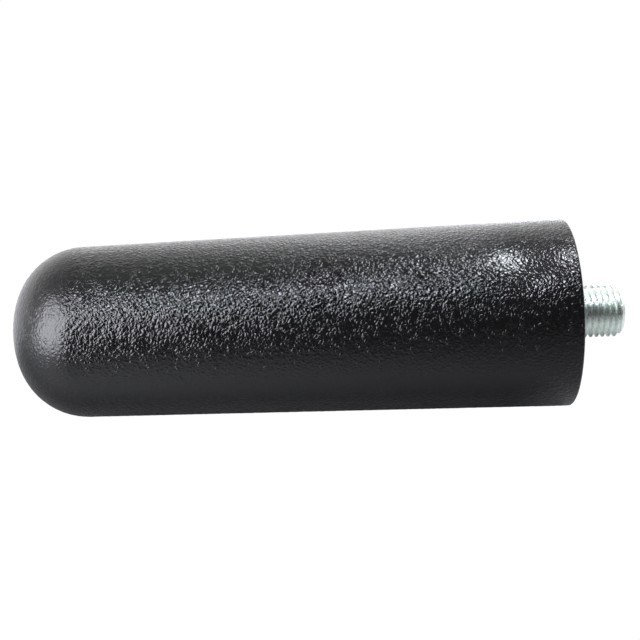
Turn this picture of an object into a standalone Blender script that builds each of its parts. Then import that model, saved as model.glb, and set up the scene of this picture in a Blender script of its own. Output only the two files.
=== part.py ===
"""Winch handle: a free-turning moulded grip on a plated steel spindle.

The spindle ends in a threaded stud that screws into the tapped hole of a
crank arm, up to the collar.  The hollow grip carries a moulded core with two
bearing bushes, turns on the spindle between two thrust washers, and is kept
on by a retaining ring.  The core's flange closes the grip's open end, with a
seal ring behind it, and snaps into a groove in the grip's mouth.

Frame: metres, +X along the spindle towards the stud's tip, origin on the axis
at the collar's front face, where the crank arm seats.  Every length below is
in millimetres and is scaled once, by MM.
"""

import math

import bmesh
import bpy

MM = 0.001
SEGMENTS = 48  # sides of a turned piece; a multiple of 12, so 30 degree turns match

# Grip shell
GRIP_LENGTH = 100.3
RIM_X = -0.5  # the grip's flat end stands this far behind the collar's face
RIM_R = 17.0
TAPER = 0.0159  # radius lost for each millimetre towards the dome
CROWN_R = 20.4  # dome: large radius at the apex
KNUCKLE_R = 12.75  # dome: radius that blends the crown into the cone
RIM_FILLET = 0.6
WALL = 3.0
MOUTH_R = 14.7
MOUTH_DEPTH = 5.8
MOUTH_CHAMFER = 0.3
SNAP_GROOVE_R = 15.15
SNAP_GROOVE_X = (-2.1, -3.5)

# Core: flange, spigot, hub and fins in one moulding
FLANGE_X = (-1.1, -4.6)
FLANGE_R = 14.5
SNAP_BEAD_R = 14.92
SPIGOT_R = 12.9
SPIGOT_END_X = -8.0
HUB_R = 10.2
HUB_END_X = -79.0
BUSH_SEAT_R = 8.05
BUSH_SEAT_DEPTH = 11.5
HUB_BORE_R = 7.2
RECESS_R = 9.6
RECESS_X = -5.45
FACE_GROOVE = (11.2, 12.4, 0.5)  # inner radius, outer radius, depth
FIN_COUNT = 6
FIN_THICK = 1.6
FIN_R = (13.4, 12.4)  # at the spigot and at the hub's far end
FIN_X = (-7.0, -76.0)

# Spindle
COLLAR_R = 9.0
COLLAR_THICK = 3.0
COLLAR_CHAMFER = 0.35
SHANK_R = 6.0
RELIEF_R = 5.7
RELIEF_X = (-18.0, -66.0)
SPINDLE_END_X = -85.5
SPINDLE_END_CHAMFER = 0.8
CLIP_GROOVE_R = 5.5
CLIP_GROOVE_X = (-81.6, -82.7)

# Stud: 3/8 inch, 24 threads to the inch
STUD_LENGTH = 9.5
THREAD_R = 9.525 / 2
THREAD_PITCH = 25.4 / 24
THREAD_DEPTH = 0.6134 * THREAD_PITCH
THREAD_PLAIN = 1.1  # run-out left at full diameter beside the collar
THREAD_FADE = 0.6
STUD_TIP_R = 3.75
STUD_TIP_CHAMFER = 0.95
SOCKET_ACROSS_FLATS = 4.0
SOCKET_DEPTH = 5.0
SOCKET_CHAMFER = 0.35
THREAD_SEGMENTS = 36

# Bearings, washers, clip and seal
BUSH_BORE_R = 6.08
BUSH_R = 8.0
BUSH_FLANGE_THICK = 1.4
FRONT_BUSH = (-4.0, 9.3, -16.0)  # flange face, flange radius, sleeve end
REAR_BUSH = (-79.05, 9.8, -68.5)  # flange seat, flange radius, sleeve end
WASHER_BORE_R = 6.2
FRONT_WASHER = (-3.1, -3.9, 8.8)
REAR_WASHER = (-80.55, -81.55, 9.2)
CLIP_X = (-81.65, -82.65)
CLIP_BORE_R = 5.55
CLIP_RING_R = 7.1
CLIP_OFFSET = 0.35
CLIP_LUG_R = 8.9
CLIP_GAP = math.radians(16)  # half angle
CLIP_HOLE_R = 0.75
SEAL_X = -5.45
SEAL_R = 13.85
SEAL_CORD_R = 0.75


# ---------------------------------------------------------------- scene

for old in list(bpy.data.objects):
    bpy.data.objects.remove(old, do_unlink=True)


def collection(name):
    made = bpy.data.collections.new(name)
    bpy.context.scene.collection.children.link(made)
    return made


PARTS = collection("winch_handle")
CUTTERS = collection("cutters")
CUTTERS.hide_render = True


def material(name, colour, roughness, metallic=0.0):
    made = bpy.data.materials.new(name)
    made.use_nodes = True
    shader = made.node_tree.nodes["Principled BSDF"]
    shader.inputs["Base Color"].default_value = (*colour, 1.0)
    shader.inputs["Roughness"].default_value = roughness
    shader.inputs["Metallic"].default_value = metallic
    made.diffuse_color = (*colour, 1.0)
    return made


def empty(name, parent=None):
    made = bpy.data.objects.new(name, None)
    PARTS.objects.link(made)
    made.parent = parent
    return made


AXLE = empty("axle")  # stands still with the crank arm
GRIP = empty("grip_turns", AXLE)  # turns about +X


# ---------------------------------------------------------------- helpers


def evaluated_mesh(obj):
    """A mesh datablock of obj with its modifiers applied and loose caps welded."""
    bpy.context.view_layer.update()
    graph = bpy.context.evaluated_depsgraph_get()
    mesh = bpy.data.meshes.new_from_object(obj.evaluated_get(graph))
    work = bmesh.new()
    work.from_mesh(mesh)
    bmesh.ops.remove_doubles(work, verts=work.verts, dist=1e-6)
    work.to_mesh(mesh)
    work.free()
    return mesh


def finished(obj, finish, parent):
    """Replaces obj by a plain mesh object of the same name and place, shaded and painted."""
    mesh = evaluated_mesh(obj)
    name, place = obj.name, obj.matrix_world.copy()
    bpy.data.objects.remove(obj, do_unlink=True)
    made = bpy.data.objects.new(name, mesh)
    mesh.name = name
    PARTS.objects.link(made)
    made.parent = parent
    made.matrix_world = place
    mesh.materials.clear()
    mesh.materials.append(finish)
    mesh.shade_smooth()
    mesh.set_sharp_from_angle(angle=math.radians(32))
    return made


def along_x(obj):
    """Turns obj so that its own Z lies along the spindle."""
    obj.rotation_euler = (0.0, math.pi / 2, 0.0)
    return obj


def turned(name, profile, closed=False):
    """A turned piece: profile is a list of (radius, x) in millimetres, running down its outer side."""
    mesh = bpy.data.meshes.new(name)
    count = len(profile)
    edges = [(i, i + 1) for i in range(count - 1)] + ([(count - 1, 0)] if closed else [])
    mesh.from_pydata([(r * MM, 0.0, x * MM) for r, x in profile], edges, [])
    obj = bpy.data.objects.new(name, mesh)
    PARTS.objects.link(obj)
    screw = obj.modifiers.new("turn", "SCREW")
    screw.axis = "Z"
    screw.angle = 2 * math.pi
    screw.steps = screw.render_steps = SEGMENTS
    screw.use_merge_vertices = True
    screw.merge_threshold = 0.00001
    screw.use_smooth_shade = True
    return along_x(obj)


def arc(centre, radius, start, end, steps):
    """Points (radius, x) on an arc; angles are measured from the radial direction towards +X."""
    return [
        (
            centre[0] + radius * math.cos(start + (end - start) * i / steps),
            centre[1] + radius * math.sin(start + (end - start) * i / steps),
        )
        for i in range(steps + 1)
    ]


def cut_or_join(obj, tool, operation):
    boolean = obj.modifiers.new(operation.lower(), "BOOLEAN")
    boolean.operation = operation
    boolean.object = tool
    boolean.solver = "EXACT"


def as_tool(obj):
    """Marks obj as a cutter or a joined shape, which isn't a piece of its own."""
    for home in list(obj.users_collection):
        home.objects.unlink(obj)
    CUTTERS.objects.link(obj)
    obj.hide_render = True
    obj.display_type = "WIRE"
    return obj


def drop(*tools):
    for tool in tools:
        bpy.data.objects.remove(tool, do_unlink=True)


# ---------------------------------------------------------------- grip shell


def dome(offset):
    """Centre of the knuckle, the angle where the crown meets it, and the apex, for a surface offset inwards."""
    apex = RIM_X - GRIP_LENGTH
    crown_x = apex + CROWN_R
    lean = math.atan(TAPER)
    # Knuckle centre: on a line parallel to the cone, and inside the crown by their difference in radius.
    base = RIM_R - TAPER * (RIM_X - apex) - KNUCKLE_R / math.cos(lean)
    a = 1 + TAPER**2
    b = 2 * TAPER * base - 2 * CROWN_R
    c = CROWN_R**2 + base**2 - (CROWN_R - KNUCKLE_R) ** 2
    along = (-b - math.sqrt(b * b - 4 * a * c)) / (2 * a)
    centre = (base + TAPER * along, apex + along)
    meet = math.atan2(-(crown_x - centre[1]), centre[0])
    return centre, meet, crown_x, -lean, apex + offset


def dome_points(offset, knuckle_steps, crown_steps):
    """The dome's profile from its join with the cone to the apex."""
    centre, meet, crown_x, tangent, apex = dome(offset)
    knuckle = arc(centre, KNUCKLE_R - offset, tangent, meet, knuckle_steps)
    crown = arc((0.0, crown_x), CROWN_R - offset, meet, -math.pi / 2, crown_steps)
    crown[-1] = (0.0, apex)
    return knuckle + crown[1:]


def cone_r(x):
    return RIM_R - TAPER * (RIM_X - x)


def grip_shell():
    ledge_x = RIM_X - MOUTH_DEPTH
    inner = dome_points(WALL, 5, 3)[::-1]
    inner.append((cone_r(ledge_x) - WALL, ledge_x))
    mouth = [
        (MOUTH_R, ledge_x),
        (MOUTH_R, SNAP_GROOVE_X[1] - 0.2),
        (SNAP_GROOVE_R, SNAP_GROOVE_X[1]),
        (SNAP_GROOVE_R, SNAP_GROOVE_X[0]),
        (MOUTH_R, SNAP_GROOVE_X[0] + 0.2),
        (MOUTH_R, RIM_X - MOUTH_CHAMFER),
        (MOUTH_R + MOUTH_CHAMFER, RIM_X),
    ]
    corner = (cone_r(RIM_X - RIM_FILLET) - RIM_FILLET, RIM_X - RIM_FILLET)
    rim = arc(corner, RIM_FILLET, math.pi / 2, 0.0, 5)
    outer = dome_points(0.0, 9, 6)
    return turned("grip_shell", inner + mouth + rim + outer)


# ---------------------------------------------------------------- core


def bearing_core():
    groove_in, groove_out, groove_deep = FACE_GROOVE
    bead = (SNAP_GROOVE_X[0] + SNAP_GROOVE_X[1]) / 2
    profile = [
        (RECESS_R, FLANGE_X[0] - 0.3),
        (RECESS_R + 0.3, FLANGE_X[0]),
        (groove_in, FLANGE_X[0]),
        (groove_in + 0.15, FLANGE_X[0] - groove_deep),
        (groove_out - 0.15, FLANGE_X[0] - groove_deep),
        (groove_out, FLANGE_X[0]),
        (FLANGE_R - 0.3, FLANGE_X[0]),
        (FLANGE_R, FLANGE_X[0] - 0.3),
        (FLANGE_R, bead + 0.45),
        (SNAP_BEAD_R, bead + 0.1),
        (SNAP_BEAD_R, bead - 0.1),
        (FLANGE_R, bead - 0.55),
        (FLANGE_R, FLANGE_X[1]),
        (SPIGOT_R, FLANGE_X[1]),
        (SPIGOT_R, SPIGOT_END_X),
        (HUB_R, SPIGOT_END_X - 1.2),
        (HUB_R, HUB_END_X + 0.4),
        (HUB_R - 0.4, HUB_END_X),
        (BUSH_SEAT_R + 0.3, HUB_END_X),
        (BUSH_SEAT_R, HUB_END_X + 0.3),
        (BUSH_SEAT_R, HUB_END_X + BUSH_SEAT_DEPTH),
        (HUB_BORE_R, HUB_END_X + BUSH_SEAT_DEPTH),
        (HUB_BORE_R, RECESS_X - BUSH_SEAT_DEPTH),
        (BUSH_SEAT_R, RECESS_X - BUSH_SEAT_DEPTH),
        (BUSH_SEAT_R, RECESS_X - 0.3),
        (BUSH_SEAT_R + 0.3, RECESS_X),
        (RECESS_R, RECESS_X),
    ]
    core = turned("bearing_core", profile, closed=True)
    fins = []
    for i in range(FIN_COUNT):
        work = bmesh.new()
        bmesh.ops.create_cube(work, size=1.0)
        for v in work.verts:
            front = v.co.z > 0
            tip = FIN_R[0] if front else FIN_R[1]
            v.co.x = (tip if v.co.x > 0 else HUB_R - 1.2) * MM
            v.co.y *= FIN_THICK * MM
            v.co.z = (FIN_X[0] if front else FIN_X[1]) * MM
        bmesh.ops.recalc_face_normals(work, faces=work.faces)
        mesh = bpy.data.meshes.new(f"fin_{i + 1}")
        work.to_mesh(mesh)
        work.free()
        fin = bpy.data.objects.new(f"fin_{i + 1}", mesh)
        PARTS.objects.link(fin)
        # Half a side off the turned piece's own edges, so no face of a fin lies on one.
        turn = 2 * math.pi * (i / FIN_COUNT) + math.pi / SEGMENTS
        fin.rotation_mode = "XYZ"
        fin.matrix_world = core_matrix(turn)
        cut_or_join(core, as_tool(fin), "UNION")
        fins.append(fin)
    return core, fins


def core_matrix(turn):
    """Own Z along +X, then turned about +X."""
    from mathutils import Matrix

    return Matrix.Rotation(turn, 4, "X") @ Matrix.Rotation(math.pi / 2, 4, "Y")


# ---------------------------------------------------------------- spindle


def spindle_shaft():
    g = CLIP_GROOVE_X
    end = SPINDLE_END_X
    c = COLLAR_CHAMFER
    return turned(
        "spindle",
        [
            (0.0, 0.0),
            (COLLAR_R - c, 0.0),
            (COLLAR_R, -c),
            (COLLAR_R, -COLLAR_THICK + c),
            (COLLAR_R - c, -COLLAR_THICK),
            (SHANK_R, -COLLAR_THICK),
            (SHANK_R, RELIEF_X[0]),
            (RELIEF_R, RELIEF_X[0] - 0.5),
            (RELIEF_R, RELIEF_X[1] + 0.5),
            (SHANK_R, RELIEF_X[1]),
            (SHANK_R, g[0]),
            (CLIP_GROOVE_R, g[0]),
            (CLIP_GROOVE_R, g[1]),
            (SHANK_R, g[1]),
            (SHANK_R, end + SPINDLE_END_CHAMFER),
            (SHANK_R - SPINDLE_END_CHAMFER, end),
            (0.0, end),
        ],
    )


def thread_radius(x, crest):
    """Radius of the threaded stud at x for a crest or a root point."""
    fade = min(1.0, max(0.0, (x - THREAD_PLAIN) / THREAD_FADE))
    r = THREAD_R if crest else THREAD_R - THREAD_DEPTH * fade
    to_tip = STUD_LENGTH - x
    if to_tip < STUD_TIP_CHAMFER:
        r = min(r, STUD_TIP_R + (THREAD_R - STUD_TIP_R) * to_tip / STUD_TIP_CHAMFER)
    return r


def threaded_stud():
    """Right-hand external thread: a crest flat of P/8, a root flat of P/4 and flanks between, wound as one strip."""
    low, high, foot = THREAD_PLAIN - 0.2, STUD_LENGTH, -1.5
    parts_of_pitch = ((0.0, True), (0.125, True), (0.4375, False), (0.6875, False))
    n = THREAD_SEGMENTS
    start = low - THREAD_PITCH * 1.073
    rows = 4 * (int((high - start) / THREAD_PITCH) + 3)
    work = bmesh.new()

    def ring(x, r):
        return [
            work.verts.new(
                (
                    r * MM * math.cos(2 * math.pi * i / n),
                    r * MM * math.sin(2 * math.pi * i / n),
                    x * MM,
                )
            )
            for i in range(n)
        ]

    foot_ring, low_ring, high_ring = ring(foot, THREAD_R), ring(low, THREAD_R), ring(high, STUD_TIP_R)
    made = {}

    def vert(k, i):
        if i == n:
            k, i = k + 4, 0
        if (k, i) not in made:
            share, crest = parts_of_pitch[k % 4]
            x = start + THREAD_PITCH * (k // 4 + share + i / n)
            if x <= low + 1e-3:
                made[k, i] = low_ring[i]
            elif x >= high - 1e-3:
                made[k, i] = high_ring[i]
            else:
                r, a = thread_radius(x, crest), 2 * math.pi * i / n
                made[k, i] = work.verts.new((r * MM * math.cos(a), r * MM * math.sin(a), x * MM))
        return made[k, i]

    for k in range(rows):
        for i in range(n):
            corners = []
            for v in (vert(k, i), vert(k, i + 1), vert(k + 1, i + 1), vert(k + 1, i)):
                if v not in corners:
                    corners.append(v)
            if len(corners) > 2:
                work.faces.new(corners)
    for i in range(n):
        j = (i + 1) % n
        work.faces.new((foot_ring[i], foot_ring[j], low_ring[j], low_ring[i]))
    work.faces.new(foot_ring[::-1])
    work.faces.new(high_ring)
    bmesh.ops.triangulate(work, faces=[f for f in work.faces if len(f.verts) == 4])
    bmesh.ops.recalc_face_normals(work, faces=work.faces)
    mesh = bpy.data.meshes.new("thread")
    work.to_mesh(mesh)
    work.free()
    obj = bpy.data.objects.new("thread", mesh)
    PARTS.objects.link(obj)
    return as_tool(along_x(obj))


def hex_socket():
    """Cutter for the key socket in the stud's tip, with a countersunk mouth."""
    work = bmesh.new()
    corner = SOCKET_ACROSS_FLATS / 2 / math.cos(math.pi / 6)
    bmesh.ops.create_cone(
        work,
        cap_ends=True,
        segments=6,
        radius1=corner * MM,
        radius2=corner * MM,
        depth=(SOCKET_DEPTH + 1.0) * MM,
    )
    for v in work.verts:
        v.co.z += (STUD_LENGTH + 1.0 - (SOCKET_DEPTH + 1.0) / 2) * MM
    mesh = bpy.data.meshes.new("socket_cutter")
    work.to_mesh(mesh)
    work.free()
    obj = bpy.data.objects.new("socket_cutter", mesh)
    PARTS.objects.link(obj)
    mouth_r = corner + SOCKET_CHAMFER
    mouth = turned(
        "mouth_cutter",
        [
            (0.0, STUD_LENGTH + 0.5),
            (mouth_r + 0.5, STUD_LENGTH + 0.5),
            (mouth_r - 1.0, STUD_LENGTH - 1.0),
            (0.0, STUD_LENGTH - 1.0),
        ],
    )
    return as_tool(along_x(obj)), as_tool(mouth)


# ---------------------------------------------------------------- small turned pieces


def flanged_bush(name, flange, flange_side):
    """flange_side is +1 where the flange lies towards the stud and -1 where it lies towards the dome."""
    seat, flange_r, end = flange
    if flange_side > 0:
        back = seat - BUSH_FLANGE_THICK
        profile = [
            (BUSH_BORE_R + 0.3, seat),
            (flange_r - 0.2, seat),
            (flange_r, seat - 0.2),
            (flange_r, back),
            (BUSH_R, back),
            (BUSH_R, end + 0.4),
            (BUSH_R - 0.4, end),
            (BUSH_BORE_R + 0.3, end),
            (BUSH_BORE_R, end + 0.3),
            (BUSH_BORE_R, seat - 0.3),
        ]
    else:
        face = seat - BUSH_FLANGE_THICK
        profile = [
            (BUSH_BORE_R + 0.3, end),
            (BUSH_R - 0.4, end),
            (BUSH_R, end - 0.4),
            (BUSH_R, seat),
            (flange_r, seat),
            (flange_r, face + 0.2),
            (flange_r - 0.2, face),
            (BUSH_BORE_R + 0.3, face),
            (BUSH_BORE_R, face + 0.3),
            (BUSH_BORE_R, end - 0.3),
        ]
    return turned(name, profile, closed=True)


def washer(name, x_front, x_back, outer_r):
    c = 0.12
    return turned(
        name,
        [
            (WASHER_BORE_R + c, x_front),
            (outer_r - c, x_front),
            (outer_r, x_front - c),
            (outer_r, x_back + c),
            (outer_r - c, x_back),
            (WASHER_BORE_R + c, x_back),
            (WASHER_BORE_R, x_back + c),
            (WASHER_BORE_R, x_front - c),
        ],
        closed=True,
    )


def seal_ring():
    steps = 8
    return turned(
        "seal_ring",
        [
            (
                SEAL_R + SEAL_CORD_R * math.cos(-2 * math.pi * i / steps),
                SEAL_X + SEAL_CORD_R * math.sin(-2 * math.pi * i / steps),
            )
            for i in range(steps)
        ],
        closed=True,
    )


def retaining_ring():
    """External clip: an eccentric C-shape with two lugs and plier holes, cut from flat sheet."""

    def polar(a, r):
        return (r * math.cos(a), r * math.sin(a))

    def ring_r(a):
        return -CLIP_OFFSET * math.cos(a) + math.sqrt(CLIP_RING_R**2 - (CLIP_OFFSET * math.sin(a)) ** 2)

    g, d = CLIP_GAP, math.radians(1)
    lug = [
        (g, CLIP_LUG_R - 0.5),
        (g + 3 * d, CLIP_LUG_R),
        (g + 17 * d, CLIP_LUG_R),
        (g + 22 * d, CLIP_LUG_R - 0.7),
        (g + 27 * d, ring_r(g + 27 * d) + 0.15),
    ]
    arc_from, arc_to = g + 33 * d, 2 * math.pi - g - 33 * d
    steps = 26
    outline = [polar(a, r) for a, r in lug]
    for i in range(steps + 1):
        a = arc_from + (arc_to - arc_from) * i / steps
        outline.append(polar(a, ring_r(a)))
    outline += [polar(2 * math.pi - a, r) for a, r in reversed(lug)]
    for i in range(steps + 5):
        a = (2 * math.pi - g) + (2 * g - 2 * math.pi) * i / (steps + 4)
        outline.append(polar(a, CLIP_BORE_R))

    curve = bpy.data.curves.new("retaining_ring", "CURVE")
    curve.dimensions = "2D"
    curve.fill_mode = "BOTH"
    curve.extrude = (CLIP_X[0] - CLIP_X[1]) / 2 * MM

    def spline(points):
        made = curve.splines.new("POLY")
        made.points.add(len(points) - 1)
        for p, (x, y) in zip(made.points, points):
            p.co = (x * MM, y * MM, 0.0, 1.0)
        made.use_cyclic_u = True

    spline(outline)
    for side in (1, -1):
        cx, cy = polar(side * (g + 11 * d), 7.45)
        spline(
            [
                (
                    cx + CLIP_HOLE_R * math.cos(2 * math.pi * i / 12),
                    cy + CLIP_HOLE_R * math.sin(2 * math.pi * i / 12),
                )
                for i in range(12)
            ]
        )
    obj = bpy.data.objects.new("retaining_ring", curve)
    PARTS.objects.link(obj)
    obj.location = ((CLIP_X[0] + CLIP_X[1]) / 2 * MM, 0.0, 0.0)
    return along_x(obj)


# ---------------------------------------------------------------- assembly

black_plastic = material("black_grained_plastic", (0.022, 0.022, 0.025), 0.42)
core_plastic = material("black_moulded_plastic", (0.03, 0.03, 0.032), 0.55)
zinc_steel = material("zinc_plated_steel", (0.72, 0.74, 0.75), 0.28, 1.0)
spring_steel = material("phosphated_spring_steel", (0.09, 0.085, 0.08), 0.45, 0.9)
washer_steel = material("stainless_washer", (0.62, 0.61, 0.6), 0.32, 1.0)
acetal = material("natural_acetal", (0.82, 0.8, 0.74), 0.4)
rubber = material("nitrile_rubber", (0.02, 0.02, 0.02), 0.7)

finished(grip_shell(), black_plastic, GRIP)

core, fins = bearing_core()
finished(core, core_plastic, GRIP)
drop(*fins)

shaft = spindle_shaft()
thread = threaded_stud()
socket, mouth = hex_socket()
cut_or_join(shaft, thread, "UNION")
cut_or_join(shaft, socket, "DIFFERENCE")
cut_or_join(shaft, mouth, "DIFFERENCE")
finished(shaft, zinc_steel, AXLE)
drop(thread, socket, mouth)

finished(flanged_bush("front_bush", FRONT_BUSH, +1), acetal, GRIP)
finished(flanged_bush("rear_bush", REAR_BUSH, -1), acetal, GRIP)
finished(washer("front_washer", *FRONT_WASHER), washer_steel, AXLE)
finished(washer("rear_washer", *REAR_WASHER), washer_steel, AXLE)
finished(retaining_ring(), spring_steel, AXLE)
finished(seal_ring(), rubber, GRIP)

bpy.context.view_layer.update()
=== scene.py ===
"""Looks of the winch handle's revolving grip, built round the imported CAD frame.

Row frame: metres, +X along the spindle towards the stud, origin on the collar's front face.
Lengths are written in millimetres and scaled by MM.
"""

import math

import bpy
import numpy as np
from mathutils import Matrix, Vector


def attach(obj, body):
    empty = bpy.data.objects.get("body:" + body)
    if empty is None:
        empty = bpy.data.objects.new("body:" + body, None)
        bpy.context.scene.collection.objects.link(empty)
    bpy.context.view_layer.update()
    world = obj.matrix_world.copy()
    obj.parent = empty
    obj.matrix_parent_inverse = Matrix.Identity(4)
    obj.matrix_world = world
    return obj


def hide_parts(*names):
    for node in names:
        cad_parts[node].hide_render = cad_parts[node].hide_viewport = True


MM = 0.001
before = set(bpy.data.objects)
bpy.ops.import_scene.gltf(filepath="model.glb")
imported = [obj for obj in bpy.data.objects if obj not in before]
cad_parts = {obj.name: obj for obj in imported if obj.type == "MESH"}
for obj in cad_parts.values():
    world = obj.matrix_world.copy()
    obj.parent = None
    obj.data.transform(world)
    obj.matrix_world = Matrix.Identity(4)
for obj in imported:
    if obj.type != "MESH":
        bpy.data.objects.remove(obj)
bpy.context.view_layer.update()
scene = bpy.context.scene

# ------------------------------------------------------------------ camera
# 1100 pixels of focal length on a 640 pixel frame; the grip's middle is 201 mm away, seen from 25 degrees up.
ELEVATION = math.radians(25.0)
ROLL, YAW = 0.041, -0.016
FOCAL = 1100.0
SCALE = 0.18308 * MM  # one pixel at the grip's middle


def make_camera():
    s, c = math.sin(ELEVATION), math.cos(ELEVATION)
    level = Matrix(((1, 0, 0), (0, s, c), (0, -c, s)))
    tilt = Matrix.Rotation(ROLL, 3, "Z") @ Matrix.Rotation(YAW, 3, "Y")
    to_world = (tilt @ level).transposed()
    middle = Vector((-50.8 * MM, 0.0, 0.0))
    seen = Vector(((289.3 - 320) * SCALE, -(323.5 - 320) * SCALE, -FOCAL * SCALE))
    data = bpy.data.cameras.new("camera")
    data.sensor_width = 36.0
    data.lens = 36.0 * FOCAL / 640.0
    data.clip_start, data.clip_end = 0.01, 20.0
    cam = bpy.data.objects.new("camera", data)
    scene.collection.objects.link(cam)
    cam.matrix_world = Matrix.Translation(middle - to_world @ seen) @ to_world.to_4x4()
    scene.camera = cam


make_camera()

# ------------------------------------------------------------------ noise for geometry


def _hash(ix, iy, iz, seed):
    h = (
        ix.astype(np.int64) * 73856093
        ^ iy.astype(np.int64) * 19349663
        ^ iz.astype(np.int64) * 83492791
        ^ (seed * 2654435761)
    ) & 0xFFFFFFFF
    h = h.astype(np.uint64)
    for mul in (0x85EBCA6B, 0xC2B2AE35):
        h ^= h >> np.uint64(16)
        h = (h * np.uint64(mul)) & np.uint64(0xFFFFFFFF)
    h ^= h >> np.uint64(15)
    return h


def cells(p, seed):
    """Distances to the nearest and second nearest of scattered points, one to each unit cell."""
    base = np.floor(p).astype(np.int64)
    f1 = np.full(len(p), 9.0)
    f2 = np.full(len(p), 9.0)
    for dx in (-1, 0, 1):
        for dy in (-1, 0, 1):
            for dz in (-1, 0, 1):
                c = base + np.array((dx, dy, dz))
                h = _hash(c[:, 0], c[:, 1], c[:, 2], seed)
                off = np.stack(
                    [
                        ((h >> np.uint64(s)) & np.uint64(1023)).astype(float) / 1023.0
                        for s in (0, 10, 20)
                    ],
                    1,
                )
                d = np.sqrt((((c + off) - p) ** 2).sum(1))
                near = d < f1
                f2 = np.where(near, f1, np.minimum(f2, d))
                f1 = np.where(near, d, f1)
    return f1, f2


def smooth_noise(p, seed):
    """Value noise from -1 to 1."""
    base = np.floor(p).astype(np.int64)
    f = p - base
    f = f * f * f * (f * (f * 6 - 15) + 10)
    out = np.zeros(len(p))
    for dx in (0, 1):
        for dy in (0, 1):
            for dz in (0, 1):
                h = _hash(base[:, 0] + dx, base[:, 1] + dy, base[:, 2] + dz, seed)
                v = (h & np.uint64(0xFFFF)).astype(float) / 32767.5 - 1.0
                w = (
                    (f[:, 0] if dx else 1 - f[:, 0])
                    * (f[:, 1] if dy else 1 - f[:, 1])
                    * (f[:, 2] if dz else 1 - f[:, 2])
                )
                out += v * w
    return out


def smoothstep(a, b, x):
    t = np.clip((x - a) / (b - a), 0.0, 1.0)
    return t * t * (3 - 2 * t)


# ------------------------------------------------------------------ meshes of rows


def grid_mesh(name, rows, first_pole=None, last_pole=None, loop=False, sharp=32.0, helix=None):
    """One closed surface from rows of n points each, in millimetres, joined round and one to the next.
    A pole closes an end; loop joins the last row to the first; helix = (first, last, step) joins the
    end of each of those rows to the start of the row that is step rows before it, as a thread runs."""
    n = len(rows[0])
    points = np.concatenate([np.asarray(r, float).reshape(n, 3) for r in rows])
    m = len(rows)
    j = np.arange(n)
    k = (j + 1) % n
    home = np.arange(m)
    if helix:
        first, last, step = helix
        home[first : last + 1] = np.maximum(first, home[first : last + 1] - step)
    faces = []
    for a in range(m if loop else m - 1):
        b = (a + 1) % m
        near, far = a * n + k, b * n + k
        near[-1], far[-1] = home[a] * n, home[b] * n
        faces.append(np.stack([a * n + j, b * n + j, far, near], 1))
    quads = np.concatenate(faces)
    tris = []
    extra = []
    if first_pole is not None:
        extra.append(first_pole)
        tris.append(np.stack([np.full(n, len(points)), j, k], 1))
    if last_pole is not None:
        tris.append(np.stack([np.full(n, len(points) + len(extra)), (m - 1) * n + k, (m - 1) * n + j], 1))
        extra.append(last_pole)
    if extra:
        points = np.concatenate([points, np.array(extra, float)])
    faces = quads.tolist() + (np.concatenate(tris).tolist() if tris else [])
    mesh = bpy.data.meshes.new(name)
    mesh.from_pydata((points * MM).tolist(), [], faces)
    obj = bpy.data.objects.new(name, mesh)
    scene.collection.objects.link(obj)
    tidy(obj, sharp)
    return obj


def tidy(obj, sharp):
    """Welds doubled points, drops faces left with no area, and points every face outwards."""
    import bmesh

    work = bmesh.new()
    work.from_mesh(obj.data)
    bmesh.ops.remove_doubles(work, verts=work.verts, dist=1e-7)
    bmesh.ops.recalc_face_normals(work, faces=work.faces)
    work.to_mesh(obj.data)
    work.free()
    obj.data.shade_smooth()
    obj.data.set_sharp_from_angle(angle=math.radians(sharp))


def circle(x, r, n):
    a = 2 * np.pi * np.arange(n) / n
    return np.stack([np.full(n, x), r * np.cos(a), r * np.sin(a)], 1)


def arc(cx, cr, radius, start, end, steps):
    """(x, r) points on an arc; angles from the radial direction towards +X."""
    a = np.linspace(start, end, steps + 1)
    return [(cx + radius * math.sin(t), cr + radius * math.cos(t)) for t in a]


def spaced(profile, step):
    """The profile with extra points, so that none are further apart than step."""
    out = [profile[0]]
    for p, q in zip(profile, profile[1:]):
        n = max(1, int(math.ceil(math.hypot(q[0] - p[0], q[1] - p[1]) / step)))
        out += [(p[0] + (q[0] - p[0]) * i / n, p[1] + (q[1] - p[1]) * i / n) for i in range(1, n + 1)]
    return out


# ------------------------------------------------------------------ grip shell

LENGTH, RIM_X, RIM_R, TAPER = 100.3, -0.5, 17.0, 0.0159
CROWN_R, KNUCKLE_R = 20.4, 12.75
APEX = RIM_X - LENGTH
ROUND = 268
SINK = (-8.5, -9.2, 14.1)  # middle of the sink mark, where the grain is also calmer


def cone_r(x):
    return RIM_R - TAPER * (RIM_X - x)


def dome_profile(offset, knuckle_steps, crown_steps):
    """(x, r) from the cone's end to the apex, for the shell's outside or, offset, its inside."""
    crown_x = APEX + CROWN_R
    lean = math.atan(TAPER)
    base = RIM_R - TAPER * LENGTH - KNUCKLE_R / math.cos(lean)
    a = 1 + TAPER**2
    b = 2 * TAPER * base - 2 * CROWN_R
    c = CROWN_R**2 + base**2 - (CROWN_R - KNUCKLE_R) ** 2
    along = (-b - math.sqrt(b * b - 4 * a * c)) / (2 * a)
    cr, cx = base + TAPER * along, APEX + along
    meet = math.atan2(-(crown_x - cx), cr)
    knuckle = arc(cx, cr, KNUCKLE_R - offset, -lean, meet, knuckle_steps)
    crown = arc(crown_x, 0.0, CROWN_R - offset, meet, -math.pi / 2, crown_steps)
    return knuckle + crown[1:-1]


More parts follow.
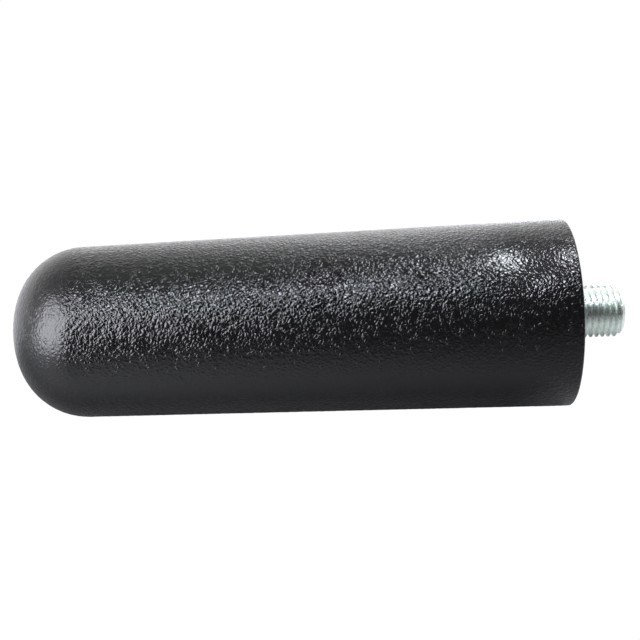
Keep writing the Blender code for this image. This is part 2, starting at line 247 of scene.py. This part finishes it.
def grain_height(p, dome):
    """Height of the pebbled grain, 0 in the valleys to 1 on the pebbles."""
    warp = np.stack([smooth_noise(p * 0.55 + s * 7.3, 11 + s) for s in range(3)], 1)
    q = p + 0.35 * warp
    f1, f2 = cells(q / 0.97, 3)
    pebble = 1.0 - smoothstep(0.0, 0.95, f1)
    valley = smoothstep(0.0, 0.42, f2 - f1)
    broad = 0.5 + 0.5 * smooth_noise(p * 0.42, 29)
    height = 0.55 * pebble + 0.35 * valley + 0.10 * broad
    return height * (1.0 - 0.42 * dome)


def make_grip():
    mouth_r, mouth_x = 14.7, RIM_X - 5.8
    fillet = arc(RIM_X - 0.45, cone_r(RIM_X - 0.45) - 0.45, 0.45, math.pi / 2, 0.0, 4)
    outer = fillet + spaced([fillet[-1], (APEX + 13.0, cone_r(APEX + 13.0))], 0.335)[1:-1]
    dome = dome_profile(0.0, 54, 23)
    outer += spaced([outer[-1], dome[0]], 0.335)[1:] + dome[1:]
    rows, normals, weight = [], [], []
    pts = np.array(outer)
    tangent = np.gradient(pts, axis=0)
    tangent /= np.linalg.norm(tangent, axis=1)[:, None]
    # Running from the rim to the apex, the outward normal is the tangent turned a quarter.
    normal = np.stack([tangent[:, 1], -tangent[:, 0]], 1)
    a = 2 * np.pi * np.arange(ROUND) / ROUND
    ca, sa = np.cos(a), np.sin(a)
    position = np.stack(
        [np.repeat(pts[:, 0], ROUND), np.outer(pts[:, 1], ca).ravel(), np.outer(pts[:, 1], sa).ravel()], 1
    )
    direction = np.stack(
        [np.repeat(normal[:, 0], ROUND), np.outer(normal[:, 1], ca).ravel(), np.outer(normal[:, 1], sa).ravel()], 1
    )
    x = position[:, 0]
    dome_share = 1.0 - smoothstep(APEX + 11.5, APEX + 13.6, x)
    edge = smoothstep(RIM_X - 0.1, RIM_X - 1.2, x)  # the grain fades out round the rim
    near_pole = smoothstep(0.0, 3.0, np.repeat(pts[:, 1], ROUND))
    height = grain_height(position, dome_share)
    # A shallow sink mark in the moulding near the flat end, high on the front.
    around = np.arctan2(position[:, 2], -position[:, 1]) - math.radians(57.0)
    sink = np.exp(-(((x + 10.1) / 4.5) ** 2) - ((around * 16.9 / 6.0) ** 2))
    calm = 1.0 - smoothstep(3.5, 10.5, np.linalg.norm(position - np.array(SINK), axis=1))
    lip = smoothstep(RIM_X - 2.2, RIM_X - 0.6, x) ** 2
    depth = 0.040 * edge * (0.25 + 0.75 * near_pole) * (1.0 - 0.5 * calm)
    inset = (height - 1.0) * depth - 0.40 * sink - 0.035 * lip
    position = position + direction * inset[:, None]
    m = len(pts)
    outer_rows = list(position.reshape(m, ROUND, 3))
    inner = dome_profile(3.0, 10, 6)[::-1]
    inside = inner + [(mouth_x, cone_r(mouth_x) - 3.0)]
    mouth = [
        (mouth_x, mouth_r),
        (-3.7, mouth_r),
        (-3.5, 15.15),
        (-2.1, 15.15),
        (-1.9, mouth_r),
        (RIM_X - 0.3, mouth_r),
        (RIM_X, mouth_r + 0.3),
    ]
    inner_rows = [circle(px, pr, ROUND) for px, pr in inside + mouth]
    # Runs from the inner apex out through the mouth, round the rim and back to the outer apex.
    return grid_mesh(
        "grip_shell_grained",
        inner_rows + outer_rows,
        first_pole=(APEX + 3.0, 0.0, 0.0),
        last_pole=(APEX - 0.0 + 0.02, 0.0, 0.0),
    )


grip = make_grip()

# ------------------------------------------------------------------ spindle

THREAD_R, PITCH, STUD = 9.525 / 2, 25.4 / 24, 9.5
DEPTH = 0.6134 * PITCH
N_STUD = 96


def thread_radius(x, share):
    """Radius of the finished thread at x, where share runs 0 to 1 across one pitch from the crest's middle."""
    t = abs(share - round(share)) * 2  # 0 on the crest's middle, 1 in the root's
    crest, root = 0.125, 0.72
    full = min(1.0, max(0.0, (t - crest) / (root - crest)))
    soft = full * full * (3 - 2 * full)
    drop = 0.72 * full + 0.28 * soft
    fade = min(1.0, max(0.0, (x - 1.1) / 0.6))
    r = THREAD_R - DEPTH * drop * fade
    to_tip = STUD - x
    if to_tip < 0.95:
        r = min(r, 3.75 + (THREAD_R - 3.75) * to_tip / 0.95)
    return r


def make_spindle():
    n = N_STUD
    a = 2 * np.pi * np.arange(n) / n
    # Local angle a runs from straight down, through the back, over the top and down the front.
    cy, cz = np.sin(a), -np.cos(a)
    per_pitch = 14
    low, high = 0.9, STUD
    start = low - PITCH * 1.073 + PITCH * 0.0625
    shares = [i / per_pitch for i in range(per_pitch)]

    def ring(x, r):
        r = np.broadcast_to(r, n)
        x = np.broadcast_to(x, n)
        return np.stack([x, r * cy, r * cz], 1)

    rows = []
    # Key socket: floor, flats, countersunk mouth
    corner = 2.0 / math.cos(math.pi / 6)
    hexagon = 2.0 / np.cos((a + math.pi / 6) % (math.pi / 3) - math.pi / 6)
    mouth_r = corner + 0.35
    rows.append(ring(STUD - 5.0, hexagon * 0.999))
    rows.append(ring(STUD - 4.6, hexagon))
    rows.append(ring(STUD - (mouth_r - hexagon) - 0.02, hexagon))
    rows.append(ring(STUD, mouth_r))
    rows.append(ring(STUD, mouth_r + 0.05))
    rows.append(ring(STUD, 3.66))
    # Thread from the tip down; row k + per_pitch at angle 0 is row k after a whole turn.
    rows.append(ring(high, thread_radius(high, 0.5)))
    top = len(rows) - 1
    count = int((high - start) / PITCH + 2) * per_pitch
    for k in range(count, -per_pitch - 1, -1):
        row = []
        for i in range(n):
            x = start + PITCH * (k / per_pitch + i / n)
            x = min(high, max(low, x))
            share = (x - start) / PITCH - i / n
            row.append((x, thread_radius(x, share)))
        row = np.array(row)
        if row[:, 0].min() >= high - 1e-9 or row[:, 0].max() <= low + 1e-9:
            continue
        rows.append(ring(row[:, 0], row[:, 1]))
    end = len(rows) - 1
    profile = [
        (low, THREAD_R),
        (0.12, THREAD_R),
        (0.0, THREAD_R + 0.12),
        (0.0, 8.6),
        (-0.05, 8.72),
        (-0.3, 8.97),
        (-0.4, 9.0),
        (-2.6, 9.0),
        (-2.7, 8.97),
        (-2.95, 8.72),
        (-3.0, 8.6),
        (-3.0, 6.0),
        (-18.0, 6.0),
        (-18.5, 5.7),
        (-65.5, 5.7),
        (-66.0, 6.0),
        (-81.6, 6.0),
        (-81.6, 5.5),
        (-82.7, 5.5),
        (-82.7, 6.0),
        (-84.7, 6.0),
        (-85.5, 5.2),
    ]
    rows += [ring(x, r) for x, r in profile]
    return grid_mesh(
        "spindle_zinc_plated",
        rows,
        first_pole=(STUD - 5.6, 0.0, 0.0),
        last_pole=(-85.5, 0.0, 0.0),
        sharp=40.0,
        helix=(top, end, per_pitch),
    )


spindle = make_spindle()

# ------------------------------------------------------------------ core


def make_core():
    """Flange, spigot, hub and fins, with every row on the same set of angles."""
    hub, fins, half = 10.2, 6, 0.8
    per_gap = 26
    kinds, angles = [], []
    base_a, tip_a = math.asin(half / hub), math.asin(half / 13.4)
    for f in range(fins):
        mid = 2 * math.pi * f / fins + math.pi / 48
        for kind, at in (("base", -base_a), ("tip", -tip_a), ("tip", tip_a), ("base", base_a)):
            kinds.append((kind, mid, 1 if at > 0 else -1))
            angles.append(mid + at)
        gap = 2 * math.pi / fins - 2 * base_a
        for i in range(1, per_gap + 1):
            kinds.append(("arc", 0.0, 0))
            angles.append(mid + base_a + gap * i / (per_gap + 1))
    angles = np.array(angles)
    n = len(angles)

    def ring(x, r):
        # Angles are about +X from +Z's quarter, as the fins are placed in the solid model.
        return np.stack([np.full(n, x), -r * np.sin(angles), r * np.cos(angles)], 1)

    def finned(x, tip):
        out = ring(x, hub)
        for i, (kind, mid, side) in enumerate(kinds):
            if kind == "arc":
                continue
            along = math.sqrt(hub**2 - half**2) if kind == "base" else tip
            y = -(along * math.sin(mid) + side * half * math.cos(mid))
            z = along * math.cos(mid) - side * half * math.sin(mid)
            out[i] = (x, y, z)
        return out

    front, back, recess = -1.1, -4.6, -5.45
    outer = [
        (front, 10.0), (front, 11.15), (front - 0.05, 11.22), (front - 0.45, 11.32), (front - 0.5, 11.4),
        (front - 0.5, 12.2), (front - 0.45, 12.28), (front - 0.05, 12.38), (front, 12.45),
        (front, 14.15), (front - 0.06, 14.32), (front - 0.18, 14.44), (front - 0.35, 14.5),
        (-2.35, 14.5), (-2.7, 14.92), (-2.9, 14.92), (-3.35, 14.5), (back, 14.5), (back, 12.9),
        (-8.0, 12.9), (-9.2, hub),
    ]
    bore = [
        (-78.6, hub), (-79.0, 9.8), (-79.0, 8.35), (-78.7, 8.05), (-67.5, 8.05), (-67.5, 7.2),
        (-16.95, 7.2), (-16.95, 8.05), (-5.75, 8.05), (recess, 8.35), (recess, 9.6),
        (front - 0.4, 9.6), (front - 0.15, 9.68), (front, 9.85),
    ]
    rows = [ring(x, r) for x, r in outer]
    rows += [ring(-9.21, hub), finned(-9.21, 13.37), finned(-76.0, 12.4), ring(-76.0, hub)]
    rows += [ring(x, r) for x, r in bore]
    return grid_mesh("bearing_core_moulded", rows, loop=True)


core = make_core()

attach(grip, "grip")
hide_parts("grip_shell")
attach(core, "grip")
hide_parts("bearing_core")
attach(spindle, "axle")
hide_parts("spindle")

# ------------------------------------------------------------------ materials


class Nodes:
    """Small helper for building a node tree."""

    def __init__(self, name):
        self.material = bpy.data.materials.new(name)
        self.material.use_nodes = True
        self.tree = self.material.node_tree
        self.shader = self.tree.nodes["Principled BSDF"]
        self.coords = self.add("ShaderNodeTexCoord").outputs["Object"]
        self.mm = self.math("MULTIPLY", self.coords, (1000.0, 1000.0, 1000.0))

    def add(self, kind, **settings):
        node = self.tree.nodes.new(kind)
        for key, value in settings.items():
            setattr(node, key, value)
        return node

    def put(self, socket, value):
        if isinstance(value, bpy.types.NodeSocket):
            self.tree.links.new(value, socket)
        else:
            socket.default_value = value

    def math(self, operation, a, b=None, c=None):
        """Vector maths where a is a vector, plain maths where it's a number."""
        vector = isinstance(a, tuple) or getattr(a, "type", "") in ("VECTOR", "RGBA")
        node = self.add("ShaderNodeVectorMath" if vector else "ShaderNodeMath", operation=operation)
        for socket, value in zip(node.inputs, (a, b, c)):
            if value is not None:
                self.put(socket, value)
        return node.outputs[0]

    def noise(self, vector, scale, detail=2.0, rough=0.5, out="Fac", distortion=0.0):
        node = self.add("ShaderNodeTexNoise")
        for key, value in (("Vector", vector), ("Scale", scale), ("Detail", detail), ("Roughness", rough), ("Distortion", distortion)):
            self.put(node.inputs[key], value)
        return node.outputs[out]

    def voronoi(self, vector, scale, feature="F1", smooth=0.5, random=1.0):
        node = self.add("ShaderNodeTexVoronoi", feature=feature)
        self.put(node.inputs["Vector"], vector)
        self.put(node.inputs["Scale"], scale)
        self.put(node.inputs["Randomness"], random)
        if feature == "SMOOTH_F1":
            self.put(node.inputs["Smoothness"], smooth)
        return node.outputs["Distance"]

    def remap(self, value, a, b, c=0.0, d=1.0, kind="SMOOTHSTEP"):
        node = self.add("ShaderNodeMapRange", interpolation_type=kind)
        for key, v in (("Value", value), ("From Min", a), ("From Max", b), ("To Min", c), ("To Max", d)):
            self.put(node.inputs[key], v)
        return node.outputs["Result"]

    def ramp(self, value, stops):
        node = self.add("ShaderNodeValToRGB")
        self.put(node.inputs["Fac"], value)
        ramp = node.color_ramp
        while len(ramp.elements) < len(stops):
            ramp.elements.new(0.5)
        for element, (at, colour) in zip(ramp.elements, stops):
            element.position = at
            element.color = (*colour, 1.0)
        return node.outputs["Color"]

    def bump(self, height, distance_mm, strength=1.0, normal=None):
        node = self.add("ShaderNodeBump")
        self.put(node.inputs["Height"], height)
        self.put(node.inputs["Distance"], distance_mm * MM)
        self.put(node.inputs["Strength"], strength)
        if normal is not None:
            self.put(node.inputs["Normal"], normal)
        return node.outputs["Normal"]

    def set(self, **values):
        for key, value in values.items():
            self.put(self.shader.inputs[key.replace("_", " ")], value)
        return self.material

    def distance(self, a, b):
        node = self.add("ShaderNodeVectorMath", operation="DISTANCE")
        self.put(node.inputs[0], a)
        self.put(node.inputs[1], b)
        return node.outputs["Value"]

    def split(self, vector):
        node = self.add("ShaderNodeSeparateXYZ")
        self.put(node.inputs[0], vector)
        return node.outputs

    def radius(self):
        """Distance from the spindle's axis, in millimetres."""
        x, y, z = self.split(self.mm)
        return self.math("SQRT", self.math("ADD", self.math("MULTIPLY", y, y), self.math("MULTIPLY", z, z)))


def grained_plastic():
    n = Nodes("grained_black_plastic")
    x, y, z = n.split(n.mm)
    cyl = n.remap(x, APEX + 11.0, APEX + 13.8)  # 0 on the dome, 1 on the cone
    warp = n.math("MULTIPLY_ADD", n.noise(n.mm, 0.7, 1.0, out="Color"), (0.9, 0.9, 0.9), n.mm)
    pebble = n.voronoi(warp, 1.5, "SMOOTH_F1", 0.30)
    pebble = n.remap(pebble, 0.08, 0.62, 1.0, 0.0)
    edge = n.remap(n.voronoi(warp, 1.5, "DISTANCE_TO_EDGE"), 0.0, 0.16)
    wrinkle = n.noise(warp, 2.6, 1.5, 0.5)
    fine = n.noise(n.mm, 9.0, 2.0, 0.6)
    height = n.math("MULTIPLY_ADD", pebble, 0.62, n.math("MULTIPLY", edge, 0.22))
    height = n.math("MULTIPLY_ADD", wrinkle, 0.55, height)
    height = n.math("MULTIPLY", height, n.remap(cyl, 0.0, 1.0, 0.62, 1.0, "LINEAR"))
    calm = n.remap(n.distance(n.mm, SINK), 3.0, 10.5, 0.48, 1.0)
    height = n.math("MULTIPLY", height, calm)
    height = n.math("MULTIPLY_ADD", fine, 0.05, height)
    normal = n.bump(height, 0.073)
    blotch = n.noise(n.mm, 0.12, 3.0)
    colour = n.ramp(n.math("MULTIPLY_ADD", pebble, 0.5, n.math("MULTIPLY", blotch, 0.5)), [(0.2, (0.0026, 0.0026, 0.0027)), (0.8, (0.0046, 0.0046, 0.0048))])
    rough = n.math("MULTIPLY_ADD", n.noise(n.mm, 3.1, 3.0), 0.10, n.remap(cyl, 0.0, 1.0, 0.24, 0.09, "LINEAR"))
    return n.set(Base_Color=colour, Roughness=rough, Normal=normal, IOR=1.5)


def core_plastic():
    n = Nodes("moulded_black_plastic")
    r = n.radius()
    combine = n.add("ShaderNodeCombineXYZ")
    n.put(combine.inputs[0], n.math("MULTIPLY", r, 7.0))
    rings = n.noise(combine.outputs[0], 1.0, 3.0, 0.6)
    fine = n.noise(n.mm, 5.0, 3.0, 0.6)
    height = n.math("MULTIPLY_ADD", rings, 0.6, n.math("MULTIPLY", fine, 0.4))
    colour = n.ramp(n.noise(n.mm, 0.3, 4.0), [(0.3, (0.012, 0.012, 0.013)), (0.75, (0.021, 0.021, 0.022))])
    rough = n.remap(n.noise(n.mm, 1.6, 3.0), 0.2, 0.8, 0.38, 0.56)
    return n.set(Base_Color=colour, Roughness=rough, Normal=n.bump(height, 0.012))


def zinc():
    n = Nodes("bright_zinc_plate")
    x, y, z = n.split(n.mm)
    r = n.radius()
    # Plating has a faint blue, with pale green and rose where it is thicker or thinner.
    film = n.noise(n.mm, 1.1, 3.0, 0.55, distortion=0.6)
    colour = n.ramp(
        film,
        [
            (0.25, (0.79, 0.88, 0.82)),
            (0.42, (0.83, 0.91, 0.86)),
            (0.56, (0.86, 0.91, 0.86)),
            (0.72, (0.84, 0.87, 0.83)),
        ],
    )
    combine = n.add("ShaderNodeCombineXYZ")
    n.put(combine.inputs[0], n.math("MULTIPLY", r, 9.0))
    n.put(combine.inputs[1], n.math("MULTIPLY", x, 9.0))
    lathe = n.noise(combine.outputs[0], 1.0, 2.0, 0.6)
    speck = n.noise(n.mm, 12.0, 3.0, 0.65)
    height = n.math("MULTIPLY_ADD", lathe, 0.7, n.math("MULTIPLY", speck, 0.3))
    rough = n.remap(n.noise(n.mm, 3.0, 4.0, 0.6), 0.25, 0.75, 0.25, 0.33)
    return n.set(Base_Color=colour, Metallic=1.0, Roughness=rough, Normal=n.bump(height, 0.0006))


def steel(name, dark, light, rough, grain, depth):
    n = Nodes(name)
    colour = n.ramp(n.noise(n.mm, grain, 4.0, 0.6), [(0.3, dark), (0.72, light)])
    fine = n.noise(n.mm, grain * 7.0, 3.0, 0.6)
    value = n.remap(n.noise(n.mm, grain * 2.2, 3.0), 0.25, 0.75, rough[0], rough[1])
    return n.set(Base_Color=colour, Metallic=1.0, Roughness=value, Normal=n.bump(fine, depth))


def polymer(name, dark, light, rough, grain, depth):
    n = Nodes(name)
    colour = n.ramp(n.noise(n.mm, grain, 4.0, 0.55), [(0.3, dark), (0.72, light)])
    fine = n.noise(n.mm, grain * 6.0, 3.0, 0.6)
    value = n.remap(n.noise(n.mm, grain * 2.0, 3.0), 0.25, 0.75, rough[0], rough[1])
    return n.set(Base_Color=colour, Roughness=value, Normal=n.bump(fine, depth))


def wear(obj, material):
    obj.data.materials.clear()
    obj.data.materials.append(material)


wear(grip, grained_plastic())
wear(core, core_plastic())
wear(spindle, zinc())
acetal = polymer("natural_acetal", (0.70, 0.68, 0.61), (0.80, 0.78, 0.72), (0.34, 0.46), 0.5, 0.008)
washer = steel("stainless_washer", (0.50, 0.49, 0.48), (0.66, 0.65, 0.64), (0.24, 0.40), 1.0, 0.006)
spring = steel("phosphated_spring_steel", (0.05, 0.048, 0.045), (0.12, 0.115, 0.105), (0.38, 0.58), 1.4, 0.01)
rubber = polymer("nitrile_rubber", (0.014, 0.014, 0.014), (0.026, 0.026, 0.027), (0.6, 0.78), 0.9, 0.012)
for name, finish in (
    ("front_bush", acetal),
    ("rear_bush", acetal),
    ("front_washer", washer),
    ("rear_washer", washer),
    ("retaining_ring", spring),
    ("seal_ring", rubber),
):
    wear(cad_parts[name], finish)

# ------------------------------------------------------------------ floor, world and lights

FLOOR_Z = -17.06 * MM
# Floor tones with painted light in them: pale where light from the left would pool, dark in front on the right.
FLOOR_PAINTED_LIGHT_TONES = ((0.0, 0.90), (0.30, 0.68), (0.42, 0.50), (0.53, 0.45), (0.61, 0.32), (0.69, 0.22), (0.73, 0.15), (0.81, 0.09))


def make_floor():
    mesh = bpy.data.meshes.new("floor")
    s = 3.0
    mesh.from_pydata([(-s, -s, FLOOR_Z), (s, -s, FLOOR_Z), (s, s, FLOOR_Z), (-s, s, FLOOR_Z)], [], [(0, 1, 2, 3)])
    floor = bpy.data.objects.new("floor", mesh)
    scene.collection.objects.link(floor)
    # The floor's colour holds painted light and painted shadow, which the grip shows in reflection.
    made = bpy.data.materials.new("pale_floor_painted_light")
    made.use_nodes = True
    tree = made.node_tree
    shader = tree.nodes["Principled BSDF"]
    coords = tree.nodes.new("ShaderNodeTexCoord")
    noise = tree.nodes.new("ShaderNodeTexNoise")
    noise.inputs["Scale"].default_value = 3.0
    tree.links.new(coords.outputs["Object"], noise.inputs["Vector"])
    split = tree.nodes.new("ShaderNodeSeparateXYZ")
    tree.links.new(coords.outputs["Object"], split.inputs[0])
    forward = tree.nodes.new("ShaderNodeMath")
    forward.operation = "MULTIPLY_ADD"
    tree.links.new(split.outputs["Y"], forward.inputs[0])
    forward.inputs[1].default_value = -1.6
    tree.links.new(split.outputs["X"], forward.inputs[2])
    # Painted light: paler behind and to the left, darker in front on the right, as if the floor were lit from the
    # left.
    along = tree.nodes.new("ShaderNodeMapRange")
    tree.links.new(forward.outputs[0], along.inputs["Value"])
    along.inputs["From Min"].default_value = -0.35
    along.inputs["From Max"].default_value = 0.25
    speck = tree.nodes.new("ShaderNodeMath")
    speck.operation = "MULTIPLY_ADD"
    tree.links.new(noise.outputs["Fac"], speck.inputs[0])
    speck.inputs[1].default_value = 0.03
    tree.links.new(along.outputs["Result"], speck.inputs[2])
    ramp = tree.nodes.new("ShaderNodeValToRGB")
    while len(ramp.color_ramp.elements) < len(FLOOR_PAINTED_LIGHT_TONES):
        ramp.color_ramp.elements.new(0.5)
    for element, (at, tone) in zip(ramp.color_ramp.elements, FLOOR_PAINTED_LIGHT_TONES):
        element.position = at
        element.color = (tone, tone, tone, 1)
    tree.links.new(speck.outputs[0], ramp.inputs["Fac"])
    # Painted shadow: half as pale straight under the grip.
    under = None
    for axis, low, high in (("Y", 0.012, 0.030), ("Y", -0.012, -0.030), ("X", -0.012, 0.001)):
        part = tree.nodes.new("ShaderNodeMapRange")
        part.interpolation_type = "SMOOTHSTEP"
        tree.links.new(split.outputs[axis], part.inputs["Value"])
        part.inputs["From Min"].default_value = low
        part.inputs["From Max"].default_value = high
        if under is None:
            under = part.outputs["Result"]
            continue
        most = tree.nodes.new("ShaderNodeMath")
        most.operation = "MAXIMUM"
        tree.links.new(under, most.inputs[0])
        tree.links.new(part.outputs["Result"], most.inputs[1])
        under = most.outputs[0]
    # Painted shadow: the floor colour falls to 0.40 of its tone under the grip.
    level = tree.nodes.new("ShaderNodeMapRange")
    tree.links.new(under, level.inputs["Value"])
    level.inputs["To Min"].default_value = 0.40
    # Painted light: a little paler beyond the flat end, under the stud, where the grip's shadow ends.
    past = tree.nodes.new("ShaderNodeMapRange")
    tree.links.new(split.outputs["X"], past.inputs["Value"])
    past.inputs["From Min"].default_value = 0.000
    past.inputs["From Max"].default_value = 0.020
    past.inputs["To Min"].default_value = 1.0
    past.inputs["To Max"].default_value = 1.75
    both = tree.nodes.new("ShaderNodeMath")
    both.operation = "MULTIPLY"
    tree.links.new(level.outputs["Result"], both.inputs[0])
    tree.links.new(past.outputs["Result"], both.inputs[1])
    shade = tree.nodes.new("ShaderNodeVectorMath")
    shade.operation = "SCALE"
    tree.links.new(ramp.outputs["Color"], shade.inputs[0])
    tree.links.new(both.outputs[0], shade.inputs["Scale"])
    tree.links.new(shade.outputs[0], shader.inputs["Base Color"])
    shader.inputs["Roughness"].default_value = 0.9
    shader.inputs["Specular IOR Level"].default_value = 0.0
    path = tree.nodes.new("ShaderNodeLightPath")
    glow = tree.nodes.new("ShaderNodeEmission")
    glow.inputs["Color"].default_value = (1, 1, 1, 1)
    glow.inputs["Strength"].default_value = 1.03
    share = tree.nodes.new("ShaderNodeMath")
    share.operation = "MULTIPLY"
    share.inputs[1].default_value = 0.985
    tree.links.new(path.outputs["Is Camera Ray"], share.inputs[0])
    mix = tree.nodes.new("ShaderNodeMixShader")
    tree.links.new(share.outputs[0], mix.inputs[0])
    tree.links.new(shader.outputs[0], mix.inputs[1])
    tree.links.new(glow.outputs[0], mix.inputs[2])
    tree.links.new(mix.outputs[0], tree.nodes["Material Output"].inputs["Surface"])
    mesh.materials.append(made)


make_floor()


def make_world():
    """A bright sweep behind the object, a mid-grey ceiling and a darker room in front."""
    world = bpy.data.worlds.new("studio")
    scene.world = world
    world.use_nodes = True
    tree = world.node_tree
    tree.nodes.clear()

    def node(kind, **settings):
        made = tree.nodes.new(kind)
        for key, value in settings.items():
            setattr(made, key, value)
        return made

    coords = node("ShaderNodeTexCoord")
    split = node("ShaderNodeSeparateXYZ")
    tree.links.new(coords.outputs["Generated"], split.inputs[0])
    front = node("ShaderNodeMath", operation="MULTIPLY")
    tree.links.new(split.outputs["Y"], front.inputs[0])
    front.inputs[1].default_value = -1.0
    # Half a turn over the object: 0 on the horizon in front, 0.5 overhead, 1 on the horizon behind.
    over = node("ShaderNodeMath", operation="ARCTAN2")
    tree.links.new(split.outputs["Z"], over.inputs[0])
    tree.links.new(front.outputs[0], over.inputs[1])
    share = node("ShaderNodeMath", operation="DIVIDE")
    tree.links.new(over.outputs[0], share.inputs[0])
    share.inputs[1].default_value = math.pi
    ramp = node("ShaderNodeValToRGB")
    tree.links.new(share.outputs[0], ramp.inputs["Fac"])
    stops = ramp.color_ramp.elements
    stops[0].position, stops[0].color = 0.0, (0.02, 0.02, 0.02, 1)
    stops[1].position, stops[1].color = 1.0, (0.85, 0.85, 0.85, 1)
    for at, level in ((0.14, 0.02), (0.32, 0.02), (0.50, 0.24), (0.64, 0.25), (0.75, 0.48), (0.87, 0.50)):
        made = stops.new(at)
        made.color = (level, level, level * 1.02, 1)
    ground = node("ShaderNodeMapRange", interpolation_type="SMOOTHSTEP")
    tree.links.new(split.outputs["Z"], ground.inputs["Value"])
    ground.inputs["From Min"].default_value = 0.0
    ground.inputs["From Max"].default_value = -0.02
    mix = node("ShaderNodeMix", data_type="RGBA")
    tree.links.new(ground.outputs["Result"], mix.inputs["Factor"])
    tree.links.new(ramp.outputs["Color"], mix.inputs[6])
    mix.inputs[7].default_value = (0.42, 0.42, 0.42, 1)
    background = node("ShaderNodeBackground")
    tree.links.new(mix.outputs[2], background.inputs["Color"])
    background.inputs["Strength"].default_value = 2.4
    output = node("ShaderNodeOutputWorld")
    tree.links.new(background.outputs[0], output.inputs["Surface"])


make_world()


def softbox(name, azimuth, elevation, distance, width, height, radiance, tint=(1, 1, 1)):
    """A soft light over the grip's middle: where it stands, its angular size (all in degrees) and its radiance."""
    data = bpy.data.lights.new(name, "AREA")
    data.shape = "RECTANGLE"
    data.size = 2 * distance * math.tan(math.radians(width / 2))
    data.size_y = 2 * distance * math.tan(math.radians(height / 2))
    data.energy = radiance * math.pi * data.size * data.size_y
    data.color = tint
    light = bpy.data.objects.new(name, data)
    scene.collection.objects.link(light)
    az, el = math.radians(azimuth), math.radians(elevation)
    way = Vector((math.cos(el) * math.cos(az), math.cos(el) * math.sin(az), math.sin(el)))
    side = Vector((0, 0, 1)).cross(way).normalized()
    turn = Matrix((side, way.cross(side), way)).transposed()
    light.matrix_world = Matrix.Translation(Vector((-50.8 * MM, 0, 0)) + way * distance) @ turn.to_4x4()
    light.visible_camera = False
    return light


softbox("window_left", -140.5, 24.0, 0.9, 44.0, 52.5, 10.8, (0.92, 0.93, 1.0))
softbox("glow_left", 170.0, 6.0, 0.9, 60.0, 34.0, 0.40, (0.96, 0.97, 1.0))
softbox("lamp_front", -97.0, 64.5, 0.9, 9.0, 12.0, 32.0, (0.86, 0.89, 1.0))
softbox("lamp_right", 12.0, 70.8, 0.9, 15.0, 9.0, 31.0, (0.90, 0.94, 1.0))
softbox("strip_behind", 87.0, 38.2, 0.9, 12.0, 47.0, 1.3, (0.95, 0.97, 1.0))

scene.view_settings.view_transform = "Standard"
scene.view_settings.look = "None"
scene.view_settings.exposure = 0.0
scene.view_settings.gamma = 1.0
